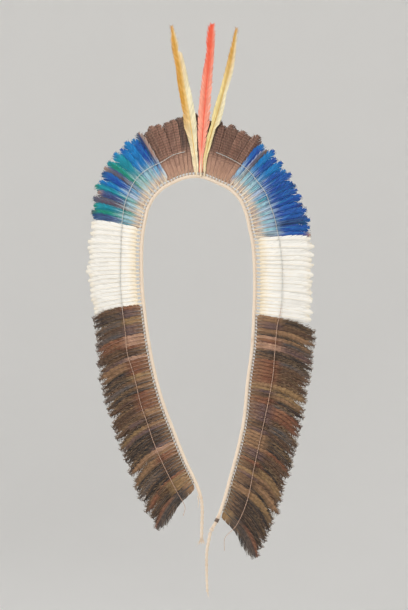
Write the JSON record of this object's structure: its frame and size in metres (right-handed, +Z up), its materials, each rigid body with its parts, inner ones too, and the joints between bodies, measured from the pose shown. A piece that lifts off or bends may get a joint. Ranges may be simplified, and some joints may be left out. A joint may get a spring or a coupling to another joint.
{
  "type": "feathered headdress",
  "caption": "Feathered headdress: a hanging loop of cotton cord fringed with blue, white and brown wing feathers, with tall tail feathers at the crown and loose ties below.",
  "frame": {"origin": "underside of the base cord at the crown, where the loop rests on the head", "axes": "+Z up, the way the tall tail feathers point; -Y is the worn face; +X is to the right seen from the worn face"},
  "size_m": [0.3991, 0.013, 0.9946],
  "materials": {
    "cord": "matt twisted cotton",
    "thread": "matt fine thread",
    "crown_brown": "soft barred feather",
    "flight_blue": "silky feather",
    "flight_white": "silky feather",
    "flight_brown": "satin feather",
    "tail_yellow": "silky feather",
    "tail_coral": "silky feather"
  },
  "bodies": {
    "root": {"base_cord": "cord", "crown_feathers_left": "crown_brown", "blue_feathers_left_1": "flight_blue", "blue_feathers_left_2": "flight_blue", "white_feathers_left_1": "flight_white", "white_feathers_left_2": "flight_white", "brown_feathers_left_1": "flight_brown", "brown_feathers_left_2": "flight_brown", "brown_feathers_left_3": "flight_brown", "brown_feathers_left_4": "flight_brown", "brown_feathers_left_5": "flight_brown", "crown_feathers_right": "crown_brown", "blue_feathers_right_1": "flight_blue", "blue_feathers_right_2": "flight_blue", "white_feathers_right_1": "flight_white", "white_feathers_right_2": "flight_white", "brown_feathers_right_1": "flight_brown", "brown_feathers_right_2": "flight_brown", "brown_feathers_right_3": "flight_brown", "brown_feathers_right_4": "flight_brown", "brown_feathers_right_5": "flight_brown", "tail_feather_yellow_left": "tail_yellow", "tail_feather_red": "tail_coral", "tail_feather_yellow_right": "tail_yellow", "binding_thread_left": "thread", "binding_thread_right": "thread", "tie_left": "cord", "tie_right": "cord", "loose_strand": "cord", "tie_left_tuft": "cord", "cord_whipping": "thread", "cord_knot": "cord"}
  },
  "joints": []
}
